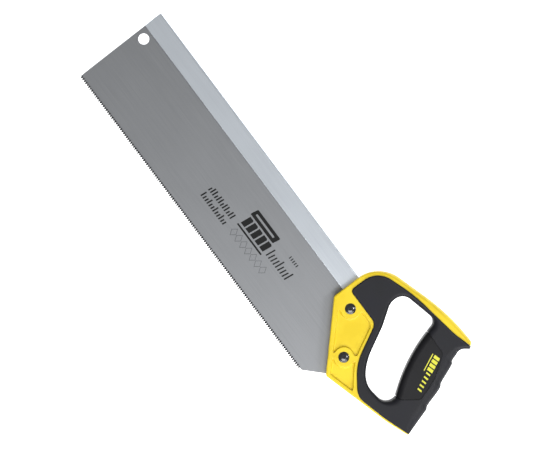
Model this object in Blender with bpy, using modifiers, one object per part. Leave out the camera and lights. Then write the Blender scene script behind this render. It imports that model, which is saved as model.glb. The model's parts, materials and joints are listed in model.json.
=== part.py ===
"""Back saw: a toothed steel blade under a folded steel spine, in a two-colour moulded handle.

The saw lies on its side. +X runs along the teeth from the toe to the handle, +Y from the teeth
to the spine and +Z up, square to the blade. The origin is the middle of the underside.

Everything is drawn in the saw's layout: x from the toe's tooth corner, y from the tooth tips,
z from the blade's middle plane. An empty then carries the whole saw to the origin. Handle
outlines are corner lists (x, y, corner radius) in millimetres from the heel point, where the
blade's 45 degree heel edge runs into the handle.
"""
import math

import bmesh
import bpy
from mathutils import Matrix, Vector

MM = 0.001

# Blade
BLADE_LENGTH = 350.0 * MM        # toothed edge
BLADE_DEPTH = 80.0 * MM          # tooth tips to the spine's lower edge
BLADE_THICKNESS = 0.9 * MM
TEETH_PER_INCH = 11
TOOTH_DEPTH = 1.7 * MM
TOOTH_TIP_SHARE = 0.5            # where the tip stands along one pitch
TOE_LEAN = 0.0205                # the toe edge leans outwards by this much per unit of height
HANG_HOLE = (8.0 * MM, 71.2 * MM)
HANG_HOLE_RADIUS = 5.25 * MM
TANG_REACH = 24.0 * MM           # how far the heel edge runs on inside the handle

# Spine
SPINE_HEIGHT = 20.0 * MM
SPINE_WALL = 2.3 * MM
SPINE_FOLD = 4.2 * MM            # solid steel above the slot
SPINE_END = -28.5 * MM           # rear end, from the heel point
BLADE_END_SETBACK = 2.0 * MM     # the blade stops this much short of the spine's rear end

# Handle
SPINE_SEAT = 61.5 * MM           # height of the spine's lower edge above the heel point
HANDLE_THICKNESS = 30.0 * MM     # over the soft cover
COVER_PROUD = 1.5 * MM           # the cover stands this much above the core's bands
COVER_SKIN = 3.0 * MM
COVER_ROUND = 5.0 * MM           # rounding of the grip and of the hand hole's rim
CORE_ROUND = 2.5 * MM
POCKET_DEPTH = 2.5 * MM
RIB_DEPTH = 1.9 * MM

# Saw screws and their sleeve nuts
SCREW_UPPER = (-35.7 * MM, 56.1 * MM)
SCREW_LOWER = (-2.6 * MM, 23.4 * MM)
HEAD_RADIUS = 5.1 * MM
HEAD_HEIGHT = 2.4 * MM
HEAD_RIM = 0.9 * MM
HEAD_SINK = 1.2 * MM             # depth of the counterbore under a head
DRIVE_RADIUS = 1.8 * MM
DRIVE_DEPTH = 1.3 * MM
SHANK_RADIUS = 2.5 * MM
SLEEVE_WALL = 1.4 * MM
SLEEVE_SHORT = 4.0 * MM          # the sleeve stops this far below the screw's seat
SHANK_SHORT = 5.0 * MM           # the shank stops this far above the nut's seat
BOSS_RIM = 4.3 * MM              # ring of core left round a head
BOSS_WEB = 5.0 * MM

FIT_GAP = 0.3 * MM               # clearance kept between neighbouring pieces
FAR = 40.0 * MM                  # cutters reach this far past what they cut
ARC_STEP = math.radians(9.0)     # facets of small arcs
ARC_CHORD = 6.0                  # and of wide ones, in millimetres

# Worked out from the sizes above
TOOTH_PITCH = 25.4 * MM / TEETH_PER_INCH
HEEL_RISE = BLADE_DEPTH - SPINE_SEAT
HEEL = (BLADE_LENGTH + HEEL_RISE, HEEL_RISE)
SLOT_WIDTH = BLADE_THICKNESS + 2 * FIT_GAP
SPINE_WIDTH = SLOT_WIDTH + 2 * SPINE_WALL
SPINE_TOP = BLADE_DEPTH + SPINE_HEIGHT
SPINE_REAR = HEEL[0] + SPINE_END
BLADE_TOP = SPINE_TOP - SPINE_FOLD - FIT_GAP
COVER_HALF = HANDLE_THICKNESS / 2
CORE_HALF = COVER_HALF - COVER_PROUD
BED_HALF = COVER_HALF - COVER_SKIN - FIT_GAP
SLEEVE_RADIUS = SHANK_RADIUS + FIT_GAP + SLEEVE_WALL
SEAT = CORE_HALF - HEAD_SINK
SCREW_SITES = {"upper": SCREW_UPPER, "lower": SCREW_LOWER}

# Handle outlines: (x, y, corner radius) in millimetres from the heel point
CORE_CORNERS = [
    (-54.6, 50.8, 4), (1.5, -1.0, 3), (71.5, 19.1, 120), (93.7, 27.7, 0), (95.0, 43.5, 0),
    (76.5, 99.5, 0), (63.1, 125.8, 0), (59.3, 130.0, 3), (25.3, 129.0, 225), (-54.6, 104.1, 33),
]
COVER_EDGE_CORNERS = [
    (-49.6, 66.7, 4), (-10.2, 66.7, 9), (9.6, 29.6, 50), (35.5, 11.3, 16), (68.5, 20.1, 100),
    (121.5, 39.0, 0), (121.5, 144.5, 0), (43.5, 121.1, 60), (-10.2, 112.5, 150), (-49.6, 98.3, 22),
]
HAND_HOLE_CORNERS = [
    (-17.5, 105.3, 6), (-17.5, 90.2, 8), (-4.1, 71.1, 60), (13.3, 38.8, 60), (30.1, 24.1, 22),
    (57.7, 27.5, 10.5), (57.8, 39.4, 2), (34.1, 71.4, 160), (22.4, 115.0, 7),
]
GRIP_BACK_CORNERS = [             # with the handle's far front, the outline of the grip
    (105.8, -10.0, 0), (93.1, 30.9, 60), (85.3, 56.1, 60), (76.1, 79.9, 60), (64.7, 102.7, 60),
    (57.1, 116.1, 8), (76.6, 141.6, 0),
]
HANDLE_FRONT_CORNERS = [(-90.0, 141.6, 0), (-90.0, -10.0, 0)]
RIB_LEDGES = [(58.6, 113.2), (64.7, 102.7), (76.1, 79.9), (85.3, 56.1)]
HORN_TIP_CORNERS = [(58.5, 130.6, 0), (66.5, 120.6, 0), (80.0, 120.6, 0), (80.0, 130.6, 0)]
INSERT_CORNERS = [
    (16.5, 102.3, 0), (46.5, 39.0, 0), (62.0, 41.7, 4), (73.5, 57.5, 5), (67.1, 78.5, 60),
    (51.0, 101.3, 6),
]
POCKET_CORNERS = [
    (-27.5, 63.5, 1.5), (-27.5, 49.9, 0), (-43.1, 46.7, 1), (2.7, 2.9, 1.5), (30.0, 10.5, 1.5),
    (6.7, 29.7, 50), (-10.9, 63.5, 7),
]

PAINTS = {
    "blade": ((0.27, 0.28, 0.29), 0.35, 1.0),
    "spine": ((0.60, 0.66, 0.70), 0.25, 1.0),
    "handle_core": ((0.95, 0.72, 0.03), 0.35, 0.0),
    "grip_cover": ((0.035, 0.036, 0.040), 0.70, 0.0),
    "grip_insert": ((0.028, 0.029, 0.033), 0.60, 0.0),
    "screw": ((0.02, 0.02, 0.022), 0.30, 0.6),
    "nut": ((0.02, 0.02, 0.022), 0.35, 0.6),
}


# Outlines

def rounded(corners):
    """The points of a closed outline whose corners are (x, y, radius): lines and tangent arcs."""
    points = []
    for index, (x, y, radius) in enumerate(corners):
        corner = Vector((x, y))
        before = Vector(corners[index - 1][:2]) - corner
        after = Vector(corners[(index + 1) % len(corners)][:2]) - corner
        if radius == 0:
            points.append(corner)
            continue
        before.normalize()
        after.normalize()
        turn = math.pi - before.angle(after)
        middle = corner + (before + after).normalized() * (radius / math.cos(turn / 2))
        start = corner + before * (radius * math.tan(turn / 2)) - middle
        steps = max(math.ceil(turn / ARC_STEP), math.ceil(turn * radius / ARC_CHORD))
        way = 1.0 if before.cross(after) < 0 else -1.0
        for step in range(steps + 1):
            spin = Matrix.Rotation(way * turn * step / steps, 2)
            points.append(middle + spin @ start)
    return [(point.x, point.y) for point in points]


def on_handle(corners):
    """A rounded handle outline, moved from the heel point into the layout, in metres."""
    return [(HEEL[0] + x * MM, HEEL[1] + y * MM) for x, y in rounded(corners)]


def grown(outline, distance):
    """The closed outline moved outwards by a distance, or inwards by a negative one."""
    area = sum(x0 * y1 - x1 * y0 for (x0, y0), (x1, y1) in zip(outline, outline[1:] + outline[:1]))
    outward = math.copysign(1.0, area)
    moved = []
    for index, point in enumerate(outline):
        here = Vector(point)
        along_in = (here - Vector(outline[index - 1])).normalized()
        along_out = (Vector(outline[(index + 1) % len(outline)]) - here).normalized()
        normal_in = Vector((along_in.y, -along_in.x)) * outward
        normal_out = Vector((along_out.y, -along_out.x)) * outward
        normal = (normal_in + normal_out).normalized()
        here = here + normal * (distance / normal.dot(normal_in))
        moved.append((here.x, here.y))
    return moved


def blade_outline():
    """The blade from its toe, tooth by tooth to the heel, round the tang and back along the top."""
    count = math.floor(BLADE_LENGTH / TOOTH_PITCH)
    first = (BLADE_LENGTH - count * TOOTH_PITCH) / 2
    points = [(0.0, TOOTH_DEPTH)]
    for tooth in range(count):
        gullet = first + tooth * TOOTH_PITCH
        points.append((gullet, TOOTH_DEPTH))
        points.append((gullet + TOOTH_TIP_SHARE * TOOTH_PITCH, 0.0))
    points.append((first + count * TOOTH_PITCH, TOOTH_DEPTH))
    points.append((BLADE_LENGTH + TOOTH_DEPTH, TOOTH_DEPTH))
    points += tang_corners()
    points.append((-TOE_LEAN * BLADE_TOP, BLADE_TOP))
    return points


def tang_corners():
    """Heel edge's end, the tang's 45 degree rear edge and the blade's upper rear corner."""
    reach = TANG_REACH * math.sqrt(0.5)
    low = (HEEL[0] + reach, HEEL[1] + reach)
    rear = SPINE_REAR - BLADE_END_SETBACK
    return [low, (rear, low[0] + low[1] - rear), (rear, BLADE_TOP)]


def spine_profile(clearance):
    """Half of the spine's round-topped section, as (z, y) from the slot's side outwards."""
    side = SPINE_WIDTH / 2 + clearance
    shoulder = SPINE_TOP + clearance - side
    steps = 6
    arc = [math.pi / 2 * step / steps for step in range(steps + 1)]
    points = [(side, BLADE_DEPTH - clearance)]
    points += [(side * math.cos(angle), shoulder + side * math.sin(angle)) for angle in arc]
    return points


# Solids

def add_to(collection, obj):
    for owner in obj.users_collection:
        owner.objects.unlink(obj)
    collection.objects.link(obj)


def prism(name, outline, low, high):
    """A flat outline, extruded from one height to another, as a mesh.

    The curve is drawn in millimetres, because the fill of a 2D curve is too coarse for
    teeth that are drawn in metres.
    """
    curve = bpy.data.curves.new(name, "CURVE")
    curve.dimensions = "2D"
    curve.fill_mode = "BOTH"
    curve.extrude = (high - low) / MM / 2
    spline = curve.splines.new("POLY")
    spline.points.add(len(outline) - 1)
    spline.use_cyclic_u = True
    for point, (x, y) in zip(spline.points, outline):
        point.co = (x / MM, y / MM, 0.0, 1.0)
    drawn = bpy.data.objects.new(name + "_curve", curve)
    drawn.scale = (MM, MM, MM)
    drawn.location.z = (low + high) / 2
    bpy.context.scene.collection.objects.link(drawn)
    bpy.context.view_layer.update()
    evaluated = drawn.evaluated_get(bpy.context.evaluated_depsgraph_get())
    mesh = bpy.data.meshes.new_from_object(evaluated)
    shape = bmesh.new()
    shape.from_mesh(mesh)
    bmesh.ops.remove_doubles(shape, verts=shape.verts, dist=0.001)
    for is_cap in (lambda height: height > 0, lambda height: height < 0):
        cap = [face for face in shape.faces if all(is_cap(vert.co.z) for vert in face.verts)]
        bmesh.ops.dissolve_faces(shape, faces=cap)
    bmesh.ops.transform(shape, matrix=drawn.matrix_world, verts=shape.verts)
    shape.to_mesh(mesh)
    shape.free()
    bpy.data.objects.remove(drawn)
    bpy.data.curves.remove(curve)
    mesh.name = name
    obj = bpy.data.objects.new(name, mesh)
    add_to(PARTS, obj)
    return obj


def cutter(obj):
    """Marks an object as a tool that shapes others."""
    add_to(CUTTERS, obj)
    obj.hide_render = True
    obj.display_type = "WIRE"
    return obj


def combine(obj, other, operation="DIFFERENCE"):
    step = obj.modifiers.new(other.name, "BOOLEAN")
    step.operation = operation
    step.object = other
    step.solver = "EXACT"


def soften(obj, width, segments, clamped):
    """Rounds every edge that is sharper than the facets of an arc.

    The clamp would stop the grip's rounding at the length of its shortest facet, though the
    outline there only widens as it is rounded, so the grip goes without it.
    """
    step = obj.modifiers.new("rounding", "BEVEL")
    step.use_clamp_overlap = clamped
    step.limit_method = "ANGLE"
    step.angle_limit = math.radians(30)
    step.width = width
    step.segments = segments


def rod(name, radius, low, high, site):
    """A round cutter standing square to the blade."""
    mesh = bpy.data.meshes.new(name)
    shape = bmesh.new()
    bmesh.ops.create_cone(shape, cap_ends=True, segments=40, radius1=radius, radius2=radius,
                          depth=high - low)
    shape.to_mesh(mesh)
    shape.free()
    obj = bpy.data.objects.new(name, mesh)
    obj.location = (site[0], site[1], (low + high) / 2)
    add_to(PARTS, obj)
    return cutter(obj)


def turned(name, profile):
    """A solid of revolution about its own Z axis, from a profile that runs top to bottom."""
    mesh = bpy.data.meshes.new(name)
    edges = [(index, index + 1) for index in range(len(profile) - 1)]
    mesh.from_pydata([(radius, 0.0, height) for radius, height in profile], edges, [])
    obj = bpy.data.objects.new(name, mesh)
    step = obj.modifiers.new("turning", "SCREW")
    step.axis = "Z"
    step.angle = math.tau
    step.steps = 36
    step.render_steps = 36
    step.use_merge_vertices = True
    step.merge_threshold = 0.00001
    add_to(PARTS, obj)
    return obj


def site_in_layout(site):
    return (HEEL[0] + site[0], HEEL[1] + site[1])


# Blade and spine

def make_blade():
    half = BLADE_THICKNESS / 2
    blade = prism("blade", blade_outline(), -half, half)
    combine(blade, rod("hang_hole_tool", HANG_HOLE_RADIUS, -FAR, FAR, HANG_HOLE))
    for level, site in SCREW_SITES.items():
        hole = rod(f"blade_{level}_hole_tool", SLEEVE_RADIUS + FIT_GAP, -FAR, FAR,
                   site_in_layout(site))
        combine(blade, hole)
    return blade


def lengthwise(name, section, front, rear):
    """A (z, y) section extruded along X from front to rear."""
    bar = prism(name, section, front, rear)
    turn = Matrix(((0, 0, 1, 0), (0, 1, 0, 0), (1, 0, 0, 0), (0, 0, 0, 1)))
    bar.data.transform(turn)
    bar.data.flip_normals()
    return bar


def make_spine():
    """A strip folded over the blade's top edge: round back, two flat cheeks, an open slot."""
    outer = spine_profile(0.0)
    inner = [(SLOT_WIDTH / 2, SPINE_TOP - SPINE_FOLD), (SLOT_WIDTH / 2, BLADE_DEPTH)]
    right = outer + [(-z, y) for z, y in reversed(outer[:-1])]
    slot = [(-inner[1][0], inner[1][1]), (-inner[0][0], inner[0][1]), inner[0], inner[1]]
    spine = lengthwise("spine", right + slot, 0.0, SPINE_REAR)
    for vertex in spine.data.vertices:
        if vertex.co.x < SPINE_REAR / 2:
            vertex.co.x = -TOE_LEAN * vertex.co.y
    return spine


# Handle

def hole_outline(margin):
    return grown(on_handle(HAND_HOLE_CORNERS), margin)


def grip_outline():
    return on_handle(GRIP_BACK_CORNERS + HANDLE_FRONT_CORNERS)


def side_pocket(side):
    """The moulded-out hollow of one cheek, which leaves the bosses and a web through the lower."""
    floor = side * (CORE_HALF - POCKET_DEPTH)
    low, high = sorted((floor, side * FAR))
    face = "top" if side > 0 else "under"
    pocket = cutter(prism(f"{face}_pocket_tool", on_handle(POCKET_CORNERS), low, high))
    for level, site in SCREW_SITES.items():
        boss = rod(f"{face}_{level}_boss_tool", HEAD_RADIUS + BOSS_RIM, -2 * FAR, 2 * FAR,
                   site_in_layout(site))
        combine(pocket, boss)
    centre = Vector(site_in_layout(SCREW_LOWER))
    along = Vector((1, 1)).normalized() * FAR
    across = Vector((-1, 1)).normalized() * (BOSS_WEB / 2)
    corners = [centre + along + across, centre - along + across,
               centre - along - across, centre + along - across]
    web = cutter(prism(f"{face}_web_tool", [tuple(corner) for corner in corners],
                       -2 * FAR, 2 * FAR))
    combine(pocket, web)
    return pocket


def make_core():
    """The hard core: bands round the edge, cheeks with pockets, and a thinner bed for the cover."""
    core = prism("handle_core", on_handle(CORE_CORNERS), -CORE_HALF, CORE_HALF)
    soften(core, CORE_ROUND, 3, clamped=True)

    mouth = (HEEL[0] - BLADE_DEPTH - FAR, -FAR)
    tang = [mouth, (HEEL[0] - HEEL[1] - FAR, -FAR)] + tang_corners()
    tang.append((mouth[0], BLADE_TOP))
    half = SLOT_WIDTH / 2
    combine(core, cutter(prism("tang_slot_tool", grown(tang, FIT_GAP), -half, half)))
    section = spine_profile(FIT_GAP)
    section += [(-z, y) for z, y in reversed(section[:-1])]
    socket = lengthwise("spine_socket_tool", section, mouth[0], SPINE_REAR + FIT_GAP)
    combine(core, cutter(socket))

    for level, site in SCREW_SITES.items():
        place = site_in_layout(site)
        combine(core, rod(f"{level}_hole_tool", SLEEVE_RADIUS + FIT_GAP, -FAR, FAR, place))
        for side, face in ((1, "top"), (-1, "under")):
            low, high = sorted((side * (SEAT - FIT_GAP), side * FAR))
            name = f"{level}_{face}_seat_tool"
            combine(core, rod(name, HEAD_RADIUS + FIT_GAP, low, high, place))

    bed = grown(on_handle(COVER_EDGE_CORNERS), FIT_GAP)
    for side, face in ((1, "top"), (-1, "under")):
        low, high = sorted((side * BED_HALF, side * FAR))
        combine(core, cutter(prism(f"{face}_bed_tool", bed, low, high)))
        combine(core, side_pocket(side))

    inset = COVER_SKIN + FIT_GAP
    combine(core, cutter(prism("core_hole_tool", hole_outline(inset), -FAR, FAR)))

    # Behind the grip's inset line the core ends, but only where the cover lies
    behind = cutter(prism("core_back_tool", bed, -FAR, FAR))
    kept = cutter(prism("core_kept_tool", grown(grip_outline(), -inset), -2 * FAR, 2 * FAR))
    combine(behind, kept)
    combine(core, behind)
    return core


def cover_shell(name):
    """The soft moulding over the grip: two skins joined round the hand hole and down the back."""
    shell = prism(name, grip_outline(), -COVER_HALF, COVER_HALF)
    combine(shell, cutter(prism(name + "_hole_tool", hole_outline(0.0), -FAR, FAR)))
    soften(shell, COVER_ROUND, 4, clamped=False)
    edge = cutter(prism(name + "_edge_tool", on_handle(COVER_EDGE_CORNERS), -FAR, FAR))
    combine(shell, edge, "INTERSECT")
    half = BED_HALF + FIT_GAP
    inside = cutter(prism(name + "_core_tool", grown(grip_outline(), -COVER_SKIN), -half, half))
    lining = cutter(prism(name + "_lining_tool", hole_outline(COVER_SKIN), -FAR, FAR))
    combine(inside, lining)
    combine(shell, inside)
    return shell


def rib_tool(number):
    """Cuts the slope that runs down into one ledge of the grip's back."""
    start = Vector(RIB_LEDGES[number]) * MM
    ledge = Vector(RIB_LEDGES[number + 1]) * MM
    outward = Vector((start.y - ledge.y, ledge.x - start.x)).normalized()
    foot = ledge - outward * RIB_DEPTH
    corners = [start, foot, ledge + outward * RIB_DEPTH, start + outward * 2 * RIB_DEPTH]
    outline = [(HEEL[0] + corner.x, HEEL[1] + corner.y) for corner in corners]
    return cutter(prism(f"rib_{number + 1}_tool", outline, -FAR, FAR))


def make_cover():
    cover = cover_shell("grip_cover")
    for number in range(len(RIB_LEDGES) - 1):
        combine(cover, rib_tool(number))
    combine(cover, cutter(prism("horn_tip_tool", on_handle(HORN_TIP_CORNERS), -FAR, FAR)))
    groove = grown(on_handle(INSERT_CORNERS), FIT_GAP)
    combine(cover, cutter(prism("insert_seat_tool", groove, -2 * FAR, 2 * FAR)))
    return cover


def make_insert():
    """The saddle-shaped palm and finger piece let into the cover on both sides of the grip."""
    insert = cover_shell("grip_insert")
    zone = cutter(prism("insert_zone_tool", on_handle(INSERT_CORNERS), -2 * FAR, 2 * FAR))
    combine(insert, zone, "INTERSECT")
    return insert


# Saw screws

def dome(top, rim, steps):
    """Points of a low dome from its rim radius inwards, in the order top to bottom."""
    radius = (HEAD_RADIUS ** 2 + (top - rim) ** 2) / (2 * (top - rim))
    inner = [DRIVE_RADIUS + (HEAD_RADIUS - DRIVE_RADIUS) * step / steps for step in range(steps + 1)]
    return [(r, top - radius + math.sqrt(radius ** 2 - r ** 2)) for r in inner]


def make_screw(level, site):
    """Domed head with a round drive recess, on a plain shank; the origin is at its seat."""
    foot = -(2 * SEAT - SHANK_SHORT)
    top = dome(HEAD_HEIGHT, HEAD_RIM, 5)
    floor = HEAD_HEIGHT - DRIVE_DEPTH
    profile = [(0.0, floor), (DRIVE_RADIUS * 0.8, floor)] + top
    profile += [(HEAD_RADIUS, 0.0), (SHANK_RADIUS, 0.0), (SHANK_RADIUS, foot), (0.0, foot)]
    screw = turned(f"screw_{level}", profile)
    screw.location = (*site_in_layout(site), SEAT)
    return screw


def make_nut(level, site):
    """The matching head on a sleeve, which stands through the handle and locates the blade."""
    mouth = -(2 * SEAT - SLEEVE_SHORT)
    bottom = -(SHANK_SHORT - FIT_GAP)
    bore = SHANK_RADIUS + FIT_GAP
    floor = HEAD_HEIGHT - DRIVE_DEPTH
    profile = [(0.0, floor), (DRIVE_RADIUS * 0.8, floor)] + dome(HEAD_HEIGHT, HEAD_RIM, 5)
    profile += [(HEAD_RADIUS, 0.0), (SLEEVE_RADIUS, 0.0), (SLEEVE_RADIUS, mouth),
                (bore, mouth), (bore, bottom), (0.0, bottom)]
    nut = turned(f"nut_{level}", profile)
    nut.location = (*site_in_layout(site), -SEAT)
    nut.rotation_euler.x = math.pi
    return nut


# Finish

def paint(obj, look):
    colour, roughness, metallic = PAINTS[look]
    material = bpy.data.materials.get(look) or bpy.data.materials.new(look)
    material.use_nodes = True
    shader = material.node_tree.nodes["Principled BSDF"]
    shader.inputs["Base Color"].default_value = (*colour, 1.0)
    shader.inputs["Roughness"].default_value = roughness
    shader.inputs["Metallic"].default_value = metallic
    obj.data.materials.clear()
    obj.data.materials.append(material)


def shade_round(obj):
    obj.data.shade_smooth()
    obj.data.set_sharp_from_angle(angle=math.radians(35))


def seat_at_origin(parts):
    """Hangs the pieces on one empty, placed so that the saw's underside is centred at z = 0."""
    bpy.context.view_layer.update()
    depsgraph = bpy.context.evaluated_depsgraph_get()
    corners = []
    for part in parts:
        solid = part.evaluated_get(depsgraph)
        corners += [solid.matrix_world @ Vector(corner) for corner in solid.bound_box]
    low = [min(corner[axis] for corner in corners) for axis in range(3)]
    high = [max(corner[axis] for corner in corners) for axis in range(3)]
    saw = bpy.data.objects.new("saw", None)
    PARTS.objects.link(saw)
    saw.location = (-(low[0] + high[0]) / 2, -(low[1] + high[1]) / 2, -low[2])
    for obj in list(PARTS.objects) + list(CUTTERS.objects):
        if obj != saw:
            obj.parent = saw


for leftover in list(bpy.data.objects):
    bpy.data.objects.remove(leftover)
PARTS = bpy.data.collections.new("back_saw")
CUTTERS = bpy.data.collections.new("cutters")
bpy.context.scene.collection.children.link(PARTS)
bpy.context.scene.collection.children.link(CUTTERS)

made = {
    "blade": [make_blade()],
    "spine": [make_spine()],
    "handle_core": [make_core()],
    "grip_cover": [make_cover()],
    "grip_insert": [make_insert()],
    "screw": [make_screw(level, site) for level, site in SCREW_SITES.items()],
    "nut": [make_nut(level, site) for level, site in SCREW_SITES.items()],
}
for look, pieces in made.items():
    for piece in pieces:
        paint(piece, look)
        shade_round(piece)
seat_at_origin([piece for pieces in made.values() for piece in pieces])
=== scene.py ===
# %% [markdown]
# # Back saw
# A back saw is a thin toothed plate kept straight by a folded steel back, in a moulded handle.
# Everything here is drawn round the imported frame: the frame says where the teeth, the spine
# and the screws are, and each piece takes its place from there.

# %% Load the frame
import json
import math
import bmesh
import bpy
from mathutils import Matrix, Vector
from mathutils.geometry import delaunay_2d_cdt

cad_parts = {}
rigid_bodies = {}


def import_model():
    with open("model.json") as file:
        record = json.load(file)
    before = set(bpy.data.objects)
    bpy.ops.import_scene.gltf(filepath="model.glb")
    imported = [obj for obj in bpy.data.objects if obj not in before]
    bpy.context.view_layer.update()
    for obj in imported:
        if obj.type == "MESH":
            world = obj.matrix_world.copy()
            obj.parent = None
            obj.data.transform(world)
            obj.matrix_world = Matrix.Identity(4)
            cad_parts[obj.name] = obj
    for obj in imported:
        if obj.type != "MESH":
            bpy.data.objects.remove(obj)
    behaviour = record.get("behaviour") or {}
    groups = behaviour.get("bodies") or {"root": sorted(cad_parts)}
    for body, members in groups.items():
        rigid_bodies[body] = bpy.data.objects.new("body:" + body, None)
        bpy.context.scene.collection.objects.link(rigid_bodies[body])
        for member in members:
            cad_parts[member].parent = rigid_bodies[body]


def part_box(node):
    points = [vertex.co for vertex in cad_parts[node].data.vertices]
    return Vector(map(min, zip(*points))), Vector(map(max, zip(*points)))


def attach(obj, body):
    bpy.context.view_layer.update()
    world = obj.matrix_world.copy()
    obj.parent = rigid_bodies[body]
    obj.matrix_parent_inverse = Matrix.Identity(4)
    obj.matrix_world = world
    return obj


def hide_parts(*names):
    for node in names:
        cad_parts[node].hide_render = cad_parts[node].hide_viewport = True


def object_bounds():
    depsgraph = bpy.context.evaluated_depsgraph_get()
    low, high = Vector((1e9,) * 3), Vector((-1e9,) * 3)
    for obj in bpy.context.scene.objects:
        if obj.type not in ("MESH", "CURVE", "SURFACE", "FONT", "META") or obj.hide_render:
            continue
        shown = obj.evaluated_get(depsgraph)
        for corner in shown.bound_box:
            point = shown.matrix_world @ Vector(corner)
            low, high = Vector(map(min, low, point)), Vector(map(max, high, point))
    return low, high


for leftover in list(bpy.data.objects):
    bpy.data.objects.remove(leftover)
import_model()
cad_low, cad_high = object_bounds()
print("frame", [round(size * 1000, 1) for size in cad_high - cad_low], "mm")

# %% [markdown]
# ## Where things are
# Two corners fix every drawing. The toe corner is where the row of teeth starts, and the heel
# point is where the blade's slanted heel runs into the handle. The blade and spine are drawn
# in millimetres from the first, the handle from the second. Both origins are read from the
# frame's boxes, so nothing is fitted by eye.

# %% Two origins
MM = 0.001
TOE_LEAN = 0.0205          # the toe edge leans out by this share of its height
LOWER_SCREW = (-2.6, 23.4)  # from the heel point
UPPER_SCREW = (-35.7, 56.1)

blade_low, blade_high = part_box("blade")
spine_low, spine_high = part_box("spine")
core_low, core_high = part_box("handle_core")
cover_low, cover_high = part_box("grip_cover")
lower_low, lower_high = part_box("screw_lower")

middle_z = (blade_low.z + blade_high.z) / 2
heel = (lower_low + lower_high) / 2 - Vector((*LOWER_SCREW, 0)) * MM
toe_x = spine_low.x + TOE_LEAN * (spine_high.y - blade_low.y)
FROM_TOE = Matrix.Translation((toe_x, blade_low.y, middle_z)) @ Matrix.Scale(MM, 4)
FROM_HEEL = Matrix.Translation((heel.x, heel.y, middle_z)) @ Matrix.Scale(MM, 4)

blade_half = (blade_high.z - blade_low.z) / 2 / MM
spine_half = (spine_high.z - spine_low.z) / 2 / MM
core_half = (core_high.z - core_low.z) / 2 / MM
cover_half = (cover_high.z - cover_low.z) / 2 / MM
heel_x = (heel.x - toe_x) / MM
heel_y = (heel.y - blade_low.y) / MM
print("heel point at", round(heel_x, 1), round(heel_y, 1), "mm from the toe corner")

# %% [markdown]
# ## Drawing an outline
# A maker draws a handle as straight lines and arcs that run into each other. An outline here
# is a list of corners, each with the radius of its arc. Long stretches are then split, so that
# a rounded rim has enough points to follow.

# %% Outlines from corners
ARC_STEP = math.radians(6)
LEAST_TURN = math.radians(1)    # a flatter corner needs no arc


def rounded(corners, longest=2.5):
    """Points of a closed outline with an arc at each corner (x, y, radius)."""
    points = []
    for index, (x, y, radius) in enumerate(corners):
        corner = Vector((x, y))
        before = (Vector(corners[index - 1][:2]) - corner).normalized()
        after = (Vector(corners[(index + 1) % len(corners)][:2]) - corner).normalized()
        turn = math.pi - before.angle(after)
        if radius == 0 or turn < LEAST_TURN:
            points.append(corner)
            continue
        centre = corner + (before + after).normalized() * (radius / math.cos(turn / 2))
        arm = corner + before * (radius * math.tan(turn / 2)) - centre
        steps = max(2, math.ceil(turn / ARC_STEP), math.ceil(turn * radius / longest))
        way = 1 if before.cross(after) < 0 else -1
        for step in range(steps + 1):
            points.append(centre + Matrix.Rotation(way * turn * step / steps, 2) @ arm)
    return [point for index, point in enumerate(points)
            if (point - points[index - 1]).length > 1e-4]


def divided(outline, longest=2.5):
    """The outline with its long sides split, so that a rim has points to follow."""
    split = []
    for index, point in enumerate(outline):
        following = outline[(index + 1) % len(outline)]
        parts = max(1, math.ceil((following - point).length / longest))
        split += [point.lerp(following, part / parts) for part in range(parts)]
    return split


def circle(centre, radius, steps=48):
    """Points round a circle, anticlockwise."""
    angles = [math.tau * step / steps for step in range(steps)]
    return [Vector(centre) + radius * Vector((math.cos(a), math.sin(a))) for a in angles]


def winding(outline):
    """1 for an anticlockwise outline, and -1 for a clockwise one."""
    return math.copysign(1, sum(outline[i - 1].cross(here) for i, here in enumerate(outline)))


def outward_ways(outline, reach):
    """For each point, the outward direction, averaged over the outline within a reach."""
    count, sense = len(outline), winding(outline)
    sides = [outline[(index + 1) % count] - outline[index] for index in range(count)]
    turned = [Vector((side.y, -side.x)) * sense for side in sides]
    ways = []
    for index in range(count):
        total = turned[index].normalized() + turned[index - 1].normalized()
        for step in (1, -1):
            walked, at = 0.0, index
            while walked < reach:
                side = at if step > 0 else at - 1
                length = sides[side % count].length
                share = max(0.0, 1 - walked / reach)
                total += turned[side % count] * share
                walked += length
                at += step
        ways.append(total.normalized())
    return ways


def grown(outline, distance):
    """The outline moved outwards by a distance, with its corners kept sharp."""
    count, sense = len(outline), winding(outline)
    moved = []
    for index, here in enumerate(outline):
        along_in = (here - outline[index - 1]).normalized()
        along_out = (outline[(index + 1) % count] - here).normalized()
        first = Vector((along_in.y, -along_in.x)) * sense
        second = Vector((along_out.y, -along_out.x)) * sense
        way = (first + second).normalized()
        moved.append(here + way * (distance / way.dot(first)))
    return moved


square = [(0, 0, 3), (20, 0, 3), (20, 20, 3), (0, 20, 3)]
print("a rounded square has", len(rounded(square)), "points")

# %% [markdown]
# ## A moulded slab
# The blade, the core, the soft cover and every cutter are slabs: an outline, perhaps with
# holes, the same above and below the middle plane. What makes them look moulded is the rim.
# A Bevel modifier gives one radius everywhere and stops at the shortest facet, so the rim is
# laid ring by ring instead, and its width and depth may change along the outline.

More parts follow.
